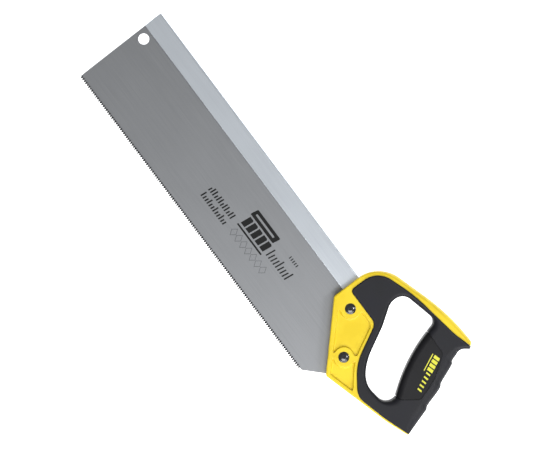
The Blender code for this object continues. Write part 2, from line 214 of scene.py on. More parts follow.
# %% Slabs with soft rims
def cap_with_triangles(shape, rings):
    """Fills the flat region between an outer ring and the rings inside it.

    The triangulation fills the whole hull. A walk from triangle to triangle then keeps the
    inside: every ring that it crosses turns outside into inside, or back.
    """
    verts = [vert for ring in rings for vert in ring]
    walls, start = set(), 0
    for ring in rings:
        walls |= {frozenset((start + i, start + (i + 1) % len(ring))) for i in range(len(ring))}
        start += len(ring)
    flat = [vert.co.to_2d() for vert in verts]
    filled = delaunay_2d_cdt(flat, [tuple(wall) for wall in walls], [], 0, 1e-6)
    origins = [sources[0] if sources else None for sources in filled[3]]
    faces = [[origins[index] for index in face] for face in filled[2]]
    sides = [[frozenset((face[i - 1], face[i])) for i in range(3)] for face in faces]
    beside = {}
    for number, pairs in enumerate(sides):
        for pair in pairs:
            beside.setdefault(pair, []).append(number)
    inside = {}
    waiting = [(found[0], pair in walls) for pair, found in beside.items() if len(found) == 1]
    while waiting:
        number, state = waiting.pop()
        if number not in inside:
            inside[number] = state
            waiting += [(other, state != (pair in walls))
                        for pair in sides[number] for other in beside[pair]]
    for number, face in enumerate(faces):
        if inside[number] and None not in face:
            shape.faces.new([verts[index] for index in face])


def in_scene(name, data):
    """A new object in the scene."""
    piece = bpy.data.objects.new(name, data)
    bpy.context.scene.collection.objects.link(piece)
    return piece


def as_piece(name, shape):
    """A new object from a shape that was built in memory, which is then freed."""
    mesh = bpy.data.meshes.new(name)
    shape.to_mesh(mesh)
    shape.free()
    return in_scene(name, mesh)


def loft(name, loops, place):
    """A closed solid through rings: the first loop of rings is the outside, the rest are holes."""
    shape = bmesh.new()
    first_rings, last_rings = [], []
    for rings in loops:
        made = [[shape.verts.new(point) for point in ring] for ring in rings]
        for lower, upper in zip(made, made[1:]):
            for index in range(len(lower)):
                after = (index + 1) % len(lower)
                shape.faces.new([lower[index], lower[after], upper[after], upper[index]])
        first_rings.append(made[0])
        last_rings.append(made[-1])
    for ends in (first_rings, last_rings):
        cap_with_triangles(shape, ends)
    bmesh.ops.recalc_face_normals(shape, faces=shape.faces)
    if shape.calc_volume(signed=True) < 0:
        bmesh.ops.reverse_faces(shape, faces=shape.faces)
    gaps = sum(1 for edge in shape.edges if len(edge.link_faces) != 2)
    if gaps:
        print("open edges in", name, gaps)
    shape.transform(place)
    return as_piece(name, shape)


def rim_rings(outline, rule, top, steps, is_hole=False):
    """Rings of one loop of a slab, from the middle of its underside round to its top."""
    sizes = [rule(point) for point in outline]
    widest = max(size[0] for size in sizes)
    ways = outward_ways(outline, max(widest, 0.01))
    if is_hole:
        ways = [-way for way in ways]
    rings = []
    for step in range(steps + 1):
        angle = math.pi / 2 * (1 - step / steps)
        ring = []
        for point, way, (width, depth, sunk) in zip(outline, ways, sizes):
            inset = sunk + (width - sunk) * (1 - math.cos(angle))
            ring.append((point - way * inset, top - depth * (1 - math.sin(angle))))
        rings.append(ring)
    lower = [[(*flat, -height) for flat, height in ring] for ring in rings]
    upper = [[(*flat, height) for flat, height in ring] for ring in reversed(rings)]
    return lower + upper


def even_rim(width, depth=None):
    """A rim rule that gives every point the same width and depth."""
    return lambda point: (width, width if depth is None else depth, 0.0)


def slab(name, outline, top, rule, place, holes=(), steps=6):
    """A slab about the middle plane, with quarter-round rims that follow a rule."""
    loops = [rim_rings(outline, rule, top, steps)]
    loops += [rim_rings(loop, hole_rule, top, steps, is_hole=True) for loop, hole_rule in holes]
    return loft(name, loops, place)


def bends(outline, ways):
    """How sharply the outline turns at each point, per millimetre: positive where it bulges."""
    found, sense = [], winding(outline)
    for index in range(len(ways)):
        ahead, behind = (index + 1) % len(ways), index - 1
        turn = ways[behind].angle_signed(ways[ahead])
        found.append(-turn / (outline[ahead] - outline[behind]).length * sense)
    return found


def stacked(name, outline, profile, place):
    """A solid whose outline grows or shrinks with height, by (grow, height) pairs.

    At a tight corner the move is cut short, so that neighbouring points never cross.
    """
    reach = max(abs(grow) for grow, height in profile)
    ways = outward_ways(outline, max(reach, 0.01))
    tight = bends(outline, ways) if reach else [0.0] * len(outline)
    rings = []
    for grow, height in profile:
        ring = []
        for point, way, bend in zip(outline, ways, tight):
            held = max(0.0, -grow * bend)
            ring.append((*(point + way * (grow / (1 + 2 * held))), height))
        rings.append(ring)
    return loft(name, [rings], place)


def bar(name, outline, low, high, place=FROM_HEEL):
    """A plain cutter: an outline between two heights."""
    return stacked(name, outline, [(0, low), (0, high)], place)


def baked(piece):
    """Turns what the piece's modifiers make into its own plain mesh."""
    bpy.context.view_layer.update()
    seen = piece.evaluated_get(bpy.context.evaluated_depsgraph_get())
    mesh = bpy.data.meshes.new_from_object(seen)
    piece.modifiers.clear()
    piece.data = mesh
    return piece


def carve(piece, tools, operation="DIFFERENCE"):
    """Cuts the piece with each tool in turn, and removes the tools."""
    for tool in tools:
        step = piece.modifiers.new(tool.name, "BOOLEAN")
        step.operation = operation
        step.object = tool
        step.solver = "EXACT"
    baked(piece)
    for tool in tools:
        bpy.data.objects.remove(tool)
    return piece


def tidied(piece, degrees=35):
    """Welds the seams a cut leaves, and shades smooth but for edges sharper than the angle.

    Weighted normals let the large flat faces lead, so a narrow rim doesn't tint them.
    """
    shape = bmesh.new()
    shape.from_mesh(piece.data)
    bmesh.ops.remove_doubles(shape, verts=shape.verts, dist=2e-6)
    bmesh.ops.dissolve_degenerate(shape, edges=shape.edges, dist=1e-6)
    shape.to_mesh(piece.data)
    shape.free()
    piece.data.shade_smooth()
    piece.data.set_sharp_from_angle(angle=math.radians(degrees))
    flats = piece.modifiers.new("flat_faces_lead", "WEIGHTED_NORMAL")
    flats.keep_sharp = True
    baked(piece)
    print(piece.name, len(piece.data.polygons), "faces")
    return piece


# %% [markdown]
# ## The blade
# The blade is a strip of spring steel, 0.9 mm thick. Its edges could be left as sharp corners,
# but a sheared and ground edge always catches a thin line of light, so the plate gets a rim of
# a few hundredths of a millimetre. The row of teeth is a piece of its own, so the plate stops
# at the root line of the teeth.

# %% Blade plate
BLADE_LENGTH = 350.0
TOOTH_DEPTH = 1.95
HANG_HOLE = (8.0, 71.2)
HANG_HOLE_RADIUS = 5.25
SLEEVE_HOLE = 4.5
TANG_REACH = 24.0
BLADE_SETBACK = 2.0     # inside the spine's rear end
PLATE_RIM = 0.06
HANG_HOLE_RIM = 0.18
SCREW_HOLE_RIM = 0.05
blade_top = (blade_high.y - blade_low.y) / MM
blade_rear = (spine_high.x - toe_x) / MM - BLADE_SETBACK

reach = TANG_REACH * math.sqrt(0.5)
low = (heel_x + reach, heel_y + reach)
plate_corners = [
    (0.0, TOOTH_DEPTH, 0), (BLADE_LENGTH + TOOTH_DEPTH, TOOTH_DEPTH, 0), (*low, 0),
    (blade_rear, sum(low) - blade_rear, 0), (blade_rear, blade_top, 0),
    (-TOE_LEAN * blade_top, blade_top, 0),
]
sites = [(heel_x + x, heel_y + y) for x, y in (LOWER_SCREW, UPPER_SCREW)]
round_holes = [(circle(HANG_HOLE, HANG_HOLE_RADIUS, 72), even_rim(HANG_HOLE_RIM))]
round_holes += [(circle(site, SLEEVE_HOLE), even_rim(SCREW_HOLE_RIM)) for site in sites]
plate = slab("blade_plate", divided(rounded(plate_corners), 20), blade_half,
             even_rim(PLATE_RIM), FROM_TOE, round_holes, steps=3)
tidied(plate)

# %% [markdown]
# ## The teeth
# The teeth are punched and then ground from alternate sides, so every second tooth shows its
# bevels on one face of the blade and its neighbours show theirs on the other. One tooth of
# each hand is made here from a few faces. Geometry Nodes then sets them along the edge at one
# pitch, alternating, and leans each a little outwards, which is called the set.

# %% One tooth of each hand
TEETH_PER_INCH = 11
PITCH = 25.4 / TEETH_PER_INCH
BEVEL = 0.22      # how far the grinding cuts into the ground side
TIP = 0.45        # width of the small third facet that tops each tooth
GULLET = 0.3      # flat bottom of the gap between two teeth
ROOT = 1.3        # how far the grinding runs up the plate
ROOT_SHARE = 0.6  # width of that part, as a share of the tooth
PROUD = 0.08      # the ground part stands this much over the plate


def tooth(name, side):
    """A topped tooth, ground back on one side of the blade; the root line is its y = 0."""
    shape = bmesh.new()
    half, depth, thick = PITCH / 2, TOOTH_DEPTH, blade_half + PROUD
    top = half * ROOT_SHARE
    base, tip, ground_tip = half - GULLET / 2, TIP / 2, TIP / 8
    whole = [(-base, 0), (-tip, -depth), (tip, -depth), (base, 0), (top, ROOT), (-top, ROOT)]
    ground = [(-base + BEVEL, 0), (-ground_tip, -depth + BEVEL), (ground_tip, -depth + BEVEL),
              (base - BEVEL, 0), (top - BEVEL, ROOT), (-top + BEVEL, ROOT)]
    rings = [[shape.verts.new((x, y, -side * thick)) for x, y in whole],
             [shape.verts.new((x, y, side * thick)) for x, y in ground]]
    for index in range(len(whole)):
        after = (index + 1) % len(whole)
        shape.faces.new([rings[0][index], rings[0][after], rings[1][after], rings[1][index]])
    shape.faces.new(rings[0])
    shape.faces.new(rings[1])
    bmesh.ops.recalc_face_normals(shape, faces=shape.faces)
    shape.transform(Matrix.Scale(MM, 4))
    return as_piece(name, shape)


tooth_patterns = [tooth("tooth_right", 1), tooth("tooth_left", -1)]
print("one tooth has", len(tooth_patterns[0].data.polygons), "faces, pitch", round(PITCH, 3), "mm")

# %% A row of teeth in Geometry Nodes
def new_tree(name, inputs):
    """An empty Geometry Nodes tree with named inputs and a geometry output."""
    tree = bpy.data.node_groups.new(name, "GeometryNodeTree")
    tree.interface.new_socket("Geometry", in_out="INPUT", socket_type="NodeSocketGeometry")
    for label, kind, value in inputs:
        socket = tree.interface.new_socket(label, in_out="INPUT", socket_type="NodeSocket" + kind)
        if value is not None:
            socket.default_value = value
    tree.interface.new_socket("Geometry", in_out="OUTPUT", socket_type="NodeSocketGeometry")
    return tree, tree.nodes.new("NodeGroupInput"), tree.nodes.new("NodeGroupOutput")


def give_inputs(piece, tree, values):
    """Adds the tree as a modifier and sets its inputs by their identifiers."""
    step = piece.modifiers.new(tree.name, "NODES")
    step.node_group = tree
    for item in tree.interface.items_tree:
        if item.item_type == "SOCKET" and item.in_out == "INPUT" and item.name in values:
            step[item.identifier] = values[item.name]
    return step


def node(tree, kind, **values):
    """A node with its settings (lower case) and the values of its input sockets."""
    made = tree.nodes.new(kind)
    for label, value in values.items():
        if hasattr(made, label):
            setattr(made, label, value)
        else:
            made.inputs[label.replace("_", " ")].default_value = value
    return made


def sums(tree, operation, *values):
    """A Math node fed by sockets or numbers."""
    made = node(tree, "ShaderNodeMath", operation=operation)
    for socket, value in zip(made.inputs, values):
        if isinstance(value, (int, float)):
            socket.default_value = value
        else:
            tree.links.new(value, socket)
    return made.outputs[0]


def wired(tree, *pairs):
    """Links each output socket to the input socket beside it."""
    for output, socket in pairs:
        tree.links.new(output, socket)


def ended(tree, geometry, material, tree_out):
    """The end of every tree: instances are made real, and the finish is set."""
    real = node(tree, "GeometryNodeRealizeInstances")
    finish = node(tree, "GeometryNodeSetMaterial")
    wired(tree, (geometry, real.inputs[0]), (real.outputs[0], finish.inputs["Geometry"]),
          (material, finish.inputs["Material"]), (finish.outputs[0], tree_out.inputs[0]))
    print(tree.name, "has", len(tree.nodes), "nodes")


row_tree, row_in, row_out = new_tree("tooth_row", [
    ("Right tooth", "Object", None), ("Left tooth", "Object", None), ("Count", "Int", 151),
    ("Pitch", "Float", 0.0023), ("Start", "Vector", (0, 0, 0)), ("Set", "Float", 0.05),
    ("Wear", "Float", 0.02), ("Seed", "Int", 1), ("Finish", "Material", None)])
given = row_in.outputs
line = node(row_tree, "GeometryNodeMeshLine")
step_along = node(row_tree, "ShaderNodeCombineXYZ")
wired(row_tree, (given["Count"], line.inputs["Count"]),
      (given["Start"], line.inputs["Start Location"]),
      (given["Pitch"], step_along.inputs["X"]), (step_along.outputs[0], line.inputs["Offset"]))

both = node(row_tree, "GeometryNodeJoinGeometry")
for label in ("Left tooth", "Right tooth"):
    info = node(row_tree, "GeometryNodeObjectInfo", As_Instance=True)
    wired(row_tree, (given[label], info.inputs["Object"]),
          (info.outputs["Geometry"], both.inputs["Geometry"]))

# Even places lean one way and odd places the other
hand = sums(row_tree, "MODULO", node(row_tree, "GeometryNodeInputIndex").outputs[0], 2)
lean_way = sums(row_tree, "MULTIPLY_ADD", hand, 2, -1)
turn = node(row_tree, "ShaderNodeCombineXYZ")
wear = node(row_tree, "FunctionNodeRandomValue", data_type="FLOAT")
wired(row_tree, (sums(row_tree, "MULTIPLY", lean_way, given["Set"]), turn.inputs["X"]),
      (sums(row_tree, "SUBTRACT", 1, given["Wear"]), wear.inputs[2]),
      (given["Seed"], wear.inputs["Seed"]))

place_all = node(row_tree, "GeometryNodeInstanceOnPoints", Pick_Instance=True)
wired(row_tree, (line.outputs["Mesh"], place_all.inputs["Points"]),
      (both.outputs["Geometry"], place_all.inputs["Instance"]),
      (hand, place_all.inputs["Instance Index"]), (turn.outputs[0], place_all.inputs["Rotation"]),
      (wear.outputs[1], place_all.inputs["Scale"]))
ended(row_tree, place_all.outputs[0], given["Finish"], row_out)

# %% Set the row of teeth along the edge
TOOTH_SET = 0.07     # radians that each tooth leans outwards
TOOTH_WEAR = 0.03    # the most worn tooth is this share smaller
teeth_count = math.floor(BLADE_LENGTH / PITCH)
first_tooth = (BLADE_LENGTH - teeth_count * PITCH) / 2 + PITCH / 2
steel_for_teeth = bpy.data.materials.new("hardened_teeth")
teeth = in_scene("blade_teeth", bpy.data.meshes.new("blade_teeth"))
give_inputs(teeth, row_tree, {
    "Right tooth": tooth_patterns[0], "Left tooth": tooth_patterns[1], "Count": teeth_count,
    "Pitch": PITCH * MM, "Start": FROM_TOE @ Vector((first_tooth, TOOTH_DEPTH, 0)),
    "Set": TOOTH_SET, "Wear": TOOTH_WEAR, "Seed": 4, "Finish": steel_for_teeth})
baked(teeth)
for pattern in tooth_patterns:
    bpy.data.objects.remove(pattern)
print(teeth_count, "teeth,", len(teeth.data.polygons), "faces")

# %% [markdown]
# ## The spine
# The spine is what makes this a back saw: one strip of thick steel, folded lengthwise and
# pressed over the blade's top edge. The rule is simple, so Geometry Nodes follow it. A flat
# grid stands for the strip. Its middle is wrapped round a half circle and the rest hangs down
# as two flat cheeks. Solidify then gives the strip its thickness, and Bevel breaks its edges.

# %% A strip that folds itself
SPINE_WALL = 2.3
fold_tree, fold_in, fold_out = new_tree("folded_strip", [
    ("Length", "Float", 0.34), ("Cheek", "Float", 0.017), ("Radius", "Float", 0.003),
    ("Lean", "Float", 0.02), ("Lip height", "Float", 0.08), ("Finish", "Material", None)])
given = fold_in.outputs


def fold(operation, *values):
    """A Math node of the strip's tree."""
    return sums(fold_tree, operation, *values)


# The strip lies flat: half of it is a quarter of the wrapped circle's way and one cheek
half_arc = fold("MULTIPLY", given["Radius"], math.pi / 2)
half_strip = fold("ADD", half_arc, given["Cheek"])
grid = node(fold_tree, "GeometryNodeMeshGrid", Vertices_X=40, Vertices_Y=97)
parts = node(fold_tree, "ShaderNodeSeparateXYZ")
wired(fold_tree, (given["Length"], grid.inputs["Size X"]),
      (fold("MULTIPLY", half_strip, 2), grid.inputs["Size Y"]),
      (node(fold_tree, "GeometryNodeInputPosition").outputs[0], parts.inputs[0]))
along, across = parts.outputs["X"], parts.outputs["Y"]

# Round the bend first, then straight down each cheek
far = fold("MINIMUM", fold("ABSOLUTE", across), half_arc)
angle = fold("DIVIDE", far, given["Radius"])
out = fold("MULTIPLY", fold("SINE", angle), given["Radius"])
out = fold("MULTIPLY", out, fold("SIGN", across))
up = fold("MULTIPLY", fold("COSINE", angle), given["Radius"])
down = fold("SUBTRACT", fold("ABSOLUTE", across), far)
up = fold("ADD", fold("SUBTRACT", up, down), given["Cheek"])
height = fold("ADD", up, given["Lip height"])

# The toe end leans out with height, and the lean fades along the strip
toe_share = fold("SUBTRACT", 0.5, fold("DIVIDE", along, given["Length"]))
lean = fold("MULTIPLY", fold("MULTIPLY", height, given["Lean"]), toe_share)
forward = fold("ADD", along, fold("MULTIPLY", given["Length"], 0.5))
forward = fold("SUBTRACT", forward, lean)

folded = node(fold_tree, "ShaderNodeCombineXYZ")
moved = node(fold_tree, "GeometryNodeSetPosition")
wired(fold_tree, *zip((forward, height, out), folded.inputs),
      (grid.outputs["Mesh"], moved.inputs["Geometry"]),
      (folded.outputs[0], moved.inputs["Position"]))
ended(fold_tree, moved.outputs[0], given["Finish"], fold_out)

# %% Fold the spine
SPINE_EDGE = 0.8
SPINE_SHARP = math.radians(50)   # only edges that turn more than this are broken
steel_for_spine = bpy.data.materials.new("bright_spine")
spine = in_scene("spine_strip", bpy.data.meshes.new("spine_strip"))
give_inputs(spine, fold_tree, {
    "Length": spine_high.x - toe_x, "Cheek": spine_high.y - spine_low.y - spine_half * MM,
    "Radius": spine_half * MM, "Lean": TOE_LEAN, "Lip height": spine_low.y - blade_low.y,
    "Finish": steel_for_spine})
thickness = spine.modifiers.new("wall", "SOLIDIFY")
thickness.thickness = SPINE_WALL * MM
thickness.offset = 1
thickness.use_even_offset = True
baked(spine)
spine.data.transform(Matrix.Translation((toe_x, blade_low.y, middle_z)))
edges = spine.modifiers.new("broken_edges", "BEVEL")
edges.width = SPINE_EDGE * MM
edges.segments = 3
edges.limit_method = "ANGLE"
edges.angle_limit = SPINE_SHARP
baked(spine)
tidied(spine, 30)
lows = [min(vertex.co[axis] for vertex in spine.data.vertices) for axis in range(3)]
highs = [max(vertex.co[axis] for vertex in spine.data.vertices) for axis in range(3)]
print("spine", [round((high - low) / MM, 2) for low, high in zip(lows, highs)], "mm")

# %% [markdown]
# ## The hard core
# The yellow core is one stiff moulding. It carries the blade between its cheeks, and shows as
# bands round the edge of the soft cover. Its top edge is rounded generously, for the hand that
# pushes on it, and its other edges only a little, so the rim rule changes with height. The
# pockets are hollows that keep the wall thin while the plastic cools. They have sloping walls
# and a rounded floor, or the part wouldn't leave its mould.

# %% Core outline and its cutters
CORE_CORNERS = [
    (-54.6, 50.8, 4), (1.5, -1.0, 3), (71.5, 19.1, 120), (93.7, 27.7, 0), (95.0, 43.5, 0),
    (76.5, 99.5, 0), (63.1, 125.8, 0), (59.3, 130.0, 3), (25.3, 129.0, 225), (-54.6, 104.1, 33),
]
COVER_EDGE_CORNERS = [
    (-49.6, 66.7, 4), (-10.2, 66.7, 9), (9.6, 29.6, 50), (35.5, 11.3, 16), (68.5, 20.1, 100),
    (121.5, 39.0, 0), (121.5, 144.5, 0), (43.5, 121.1, 60), (-10.2, 112.5, 150), (-49.6, 98.3, 22),
]
HAND_HOLE_CORNERS = [
    (-17.5, 105.3, 12), (-17.5, 90.2, 16), (-4.1, 71.1, 60), (13.3, 38.8, 60), (30.1, 24.1, 25),
    (57.7, 27.5, 10.5), (57.8, 39.4, 2), (34.1, 71.4, 160), (22.4, 115.0, 7),
]
GRIP_CORNERS = [
    (105.8, -10.0, 15), (93.1, 30.9, 60), (85.3, 56.1, 60), (76.1, 79.9, 60), (64.7, 102.7, 60),
    (57.1, 116.1, 8), (76.6, 141.6, 7.5), (-90.0, 141.6, 15), (-90.0, -10.0, 15),
]
POCKET_CORNERS = [
    (-27.5, 63.5, 1.5), (-27.5, 49.9, 0.8), (-43.1, 46.7, 1), (2.7, 2.9, 1.5), (30.0, 10.5, 1.5),
    (6.7, 29.7, 50), (-10.9, 63.5, 7),
]
COVER_SKIN = 3.0
FIT_GAP = 0.3
FAR = 60.0
BED_HALF = cover_half - COVER_SKIN - FIT_GAP
HEAD_RADIUS = 5.1
HEAD_SINK = 1.2
SEAT = core_half - HEAD_SINK
RIM_GROWS = (88, 112)   # heights between which the core's rim widens


def eased(value, low, high):
    """0 below low, 1 above high, and a smooth step between."""
    share = min(1.0, max(0.0, (value - low) / (high - low)))
    return share * share * (3 - 2 * share)


def core_rim(point):
    """A small rim low down, and a wide one along the top of the handle."""
    share = eased(point.y, *RIM_GROWS)
    return 1.3 + 3.2 * share, 1.5 + 5.0 * share, 0.0


def doubled(make):
    """The same cutter above and below the blade, from a function of the side and its name."""
    return [make(side, face) for side, face in ((1, "top"), (-1, "under"))]


core = slab("core", divided(rounded(CORE_CORNERS)), core_half, core_rim, FROM_HEEL, steps=7)
print("core rim at the top is", core_rim(Vector((0, 120)))[:2], "mm")

# %% [markdown]
# ## Moulded pockets
# Each pocket follows the cheek's edge but leaves a ring of plastic round each saw screw and a
# rib through the lower one. Drawing that outline by hand would be long, so a flat plate is cut
# with discs and a bar first, and the loops of what is left are read back as outlines. Those
# are evened out, and a cutter with sloping sides is raised from each.

# %% Outlines of the pockets
BOSS_RIM = 4.3
BOSS_WEB = 5.0


def loops_of(piece):
    """Outlines of the separate islands of a flat piece's top side."""
    shape = bmesh.new()
    shape.from_mesh(piece.data)
    bmesh.ops.remove_doubles(shape, verts=shape.verts, dist=1e-6)
    high = max(vert.co.z for vert in shape.verts)
    top = [face for face in shape.faces if all(abs(vert.co.z - high) < 1e-6 for vert in face.verts)]
    merged = bmesh.ops.dissolve_faces(shape, faces=top)["region"]
    back = FROM_HEEL.inverted()
    found = [[(back @ vert.co).to_2d() for vert in face.verts] for face in merged]
    shape.free()
    return found


def evened(outline, spacing=0.6, rounds=9):
    """The outline with equal steps, smoothed a few times, which rounds its corners a little."""
    steps = [(outline[i - 1] - outline[i]).length for i in range(len(outline))]
    count = max(24, round(sum(steps) / spacing))
    points, index, walked = [], 0, 0.0
    lengths = steps[1:] + steps[:1]
    for number in range(count):
        target = sum(lengths) * number / count
        while walked + lengths[index] < target:
            walked += lengths[index]
            index += 1
        share = (target - walked) / max(lengths[index], 1e-9)
        points.append(outline[index].lerp(outline[(index + 1) % len(outline)], share))
    for again in range(rounds):
        points = [points[i - 1] * 0.25 + points[i] * 0.5 + points[(i + 1) % count] * 0.25
                  for i in range(count)]
    return points


flat = bar("pocket_plate", rounded(POCKET_CORNERS), 0, 1)
discs = [bar("boss", circle(site, HEAD_RADIUS + BOSS_RIM, 72), -5, 5)
         for site in (LOWER_SCREW, UPPER_SCREW)]
along = Vector((1, 1)).normalized() * 40
beside = Vector((-1, 1)).normalized() * BOSS_WEB / 2
centre = Vector(LOWER_SCREW)
web = bar("web", [centre + along + beside, centre - along + beside,
                  centre - along - beside, centre + along - beside], -5, 5)
carve(flat, discs + [web])
pockets = [evened(loop) for loop in loops_of(flat) if len(loop) > 3]
bpy.data.objects.remove(flat)
print("pockets with", [len(pocket) for pocket in pockets], "points")

# %% Cut the core
POCKET_DEPTH = 2.5
SOCKET_OVERLAP = 3    # the blade's slot ends this far below the top of the spine's


def pocket_tool(outline, side, face):
    """A pocket's cutter: rounded floor, sloping wall and a softly broken upper edge."""
    floor = core_half - POCKET_DEPTH
    profile = [(-1.5, floor), (-1.1, floor + 0.08), (-0.75, floor + 0.3), (-0.55, floor + 0.7),
               (-0.3, core_half - 0.5), (-0.15, core_half - 0.18), (0.25, core_half), (0.25, FAR)]
    return stacked(face + "_pocket", outline, [(grow, side * height) for grow, height in profile],
                   FROM_HEEL)


def on_side(name, outline, low, side):
    """A plain cutter from a height outwards, on one side of the blade."""
    return bar(name, outline, *sorted((side * low, side * FAR)))


tools = []
slot_top = (spine_high.y - heel.y) / MM + FIT_GAP
slot_low = (spine_low.y - heel.y) / MM - FIT_GAP
slot_rear = (spine_high.x - heel.x) / MM + FIT_GAP
socket = [Vector(p) for p in ((-FAR * 2, slot_low), (slot_rear, slot_low), (slot_rear, slot_top),
                              (-FAR * 2, slot_top))]
tools.append(bar("socket", socket, -spine_half - FIT_GAP, spine_half + FIT_GAP))
tang_rear, tang_top = blade_rear - heel_x, slot_top - SOCKET_OVERLAP
tang = [Vector(p) for p in ((-FAR * 2, -heel_y), (-FAR, -FAR), (reach, reach),
                            (tang_rear, 2 * reach - tang_rear), (tang_rear, tang_top),
                            (-FAR * 2, tang_top))]
tools.append(bar("tang_slot", tang, -blade_half - FIT_GAP, blade_half + FIT_GAP))
for site in (LOWER_SCREW, UPPER_SCREW):
    tools.append(bar("sleeve_hole", circle(site, SLEEVE_HOLE), -FAR, FAR))
    seat_edge = circle(site, HEAD_RADIUS + FIT_GAP, 64)
    tools += doubled(lambda side, face: on_side(face + "_seat", seat_edge, SEAT - FIT_GAP, side))
bed = grown(rounded(COVER_EDGE_CORNERS), FIT_GAP)
tools += doubled(lambda side, face: on_side(face + "_bed", bed, BED_HALF, side))
for pocket in pockets:
    tools += doubled(lambda side, face: pocket_tool(pocket, side, face))
inset = COVER_SKIN + FIT_GAP
tools.append(bar("core_hole", grown(rounded(HAND_HOLE_CORNERS), inset), -FAR, FAR))
behind = bar("behind_grip", bed, -FAR + 1, FAR - 1)
carve(behind, [bar("kept", grown(rounded(GRIP_CORNERS), -inset), -FAR, FAR)])
tools.append(behind)
carve(core, tools)
tidied(core, 32)

# %% [markdown]
# ## The soft cover
# The black cover is a rubber skin moulded over the core. The hand closes round it, so its
# edges are much rounder at the grip than round the front of the hand hole. Its back has three
# shallow ledges, which stop the hand from slipping. They are deepest at the middle plane and
# fade out where the rounding meets the flat side, so they are part of the rim rule: each point
# of the outline says how wide, how deep and how far sunk the rim is there.

# %% Rim rules of the grip
RIB_LEDGES = [(58.6, 113.2), (64.7, 102.7), (76.1, 79.9), (85.3, 56.1)]
RIB_DEPTH = 1.25
RIB_STEP = 0.16   # share of a rib that is its steep side
FINGER_SIDE = (Vector((24, 108)), Vector((57.8, 42)))   # the hole's edge nearest the palm


def rib_sink(point):
    """How far the grip's back is sunk at a point: a slope into each ledge, then a quick rise."""
    for start, end in zip(RIB_LEDGES, RIB_LEDGES[1:]):
        start, end = Vector(start), Vector(end)
        run = end - start
        share = (point - start).dot(run) / run.length_squared
        if 0 <= share < 1 and abs((point - start).cross(run.normalized())) < 4:
            if share < 1 - RIB_STEP:
                return RIB_DEPTH * eased(share, 0, 1 - RIB_STEP) ** 1.3
            return RIB_DEPTH * (1 - eased(share, 1 - RIB_STEP, 1))
    return 0.0


def grip_rim(point):
    """Wide and deep along the grip's back, less at the horn and at the heel of the handle."""
    share = eased(point.y, 24, 45) * (1 - eased(point.y, 104, 120))
    return 3.5 + 5.5 * share, 3.0 + 4.0 * share, rib_sink(point)


def hole_rim(point):
    """Rounder on the side that the fingers wrap round."""
    start, end = FINGER_SIDE
    run = end - start
    share = min(1, max(0, (point - start).dot(run) / run.length_squared))
    near = 1 - eased((point - start - run * share).length, 2, 16)
    return 3.4 + 3.4 * near, 3.2 + 2.6 * near, 0.0


def grip_solid(name, smaller=0.0):
    """The grip's outer form with the hand hole, or one that lies a little inside it."""
    outline = divided(grown(rounded(GRIP_CORNERS), -smaller), 0.9)
    hole = divided(grown(rounded(HAND_HOLE_CORNERS), smaller), 1.5)
    return slab(name, outline, cover_half - smaller, grip_rim, FROM_HEEL, [(hole, hole_rim)],
                steps=9)


def grip_form(name):
    """The whole grip before it is divided into the cover and its insert."""
    form = grip_solid(name)
    inner = bar(name + "_inner", grown(rounded(GRIP_CORNERS), -COVER_SKIN),
                -BED_HALF - FIT_GAP, BED_HALF + FIT_GAP)
    lining = bar(name + "_lining", grown(rounded(HAND_HOLE_CORNERS), COVER_SKIN), -FAR, FAR)
    carve(inner, [lining])
    return carve(form, [inner])


print("rim at the grip's middle", [round(size, 2) for size in grip_rim(Vector((80, 70)))], "mm")

# %% Cover and insert
HORN_TIP_CORNERS = [(58.5, 130.6, 0), (66.5, 120.6, 0), (80.0, 120.6, 0), (80.0, 130.6, 0)]
INSERT_CORNERS = [
    (16.5, 102.3, 0), (46.5, 39.0, 0), (62.0, 41.7, 4), (73.5, 57.5, 5), (67.1, 78.5, 60),
    (51.0, 101.3, 6),
]
SEAM = 0.04       # gap between the two mouldings
GROOVE = 0.4      # half the width of the groove over the seam
GROOVE_DEPTH = 1.0
COVER_RIM = 0.8


def groove_tool(name):
    """A thin wall along the seam that reaches a set depth into the curved surface."""
    zone = rounded(INSERT_CORNERS)
    wall = bar(name, grown(zone, GROOVE), -FAR, FAR)
    carve(wall, [bar("within", grown(zone, -GROOVE), -FAR - 1, FAR + 1)])
    return carve(wall, [grip_solid("below_groove", GROOVE_DEPTH)])


cover = grip_form("cover")
edge = slab("cover_edge", divided(rounded(COVER_EDGE_CORNERS)), cover_half,
            even_rim(COVER_RIM), FROM_HEEL, steps=4)
carve(cover, [edge], "INTERSECT")
seat = bar("insert_seat", grown(rounded(INSERT_CORNERS), SEAM), -FAR, FAR)
carve(cover, [seat, bar("horn_tip", rounded(HORN_TIP_CORNERS), -FAR, FAR), groove_tool("groove")])
tidied(cover, 40)
insert = grip_form("insert")
carve(insert, [bar("insert_zone", rounded(INSERT_CORNERS), -FAR, FAR)], "INTERSECT")
carve(insert, [groove_tool("groove")])
tidied(insert, 40)

# %% [markdown]
# ## Saw screws
# Two screws and their sleeve nuts clamp the blade. Each head is a low dome with a narrow flat
# brim and a six-sided socket. A turned part is one profile spun round its axis, so it is drawn
# here as rings that grow and shrink with height, and the socket is cut last.

# %% Domed heads with a socket
HEAD_HEIGHT = 2.4
SOCKET_RADIUS = 1.75
SOCKET_DEPTH = 1.3
SHANK_RADIUS = 2.5
SLEEVE_RADIUS = 4.2
SHANK_STOP = 5.0     # gap between a shank's end and the far seat
SLEEVE_STOP = 4.0
BORE_STOP = 4.7      # a sleeve's bore starts this far above its seat


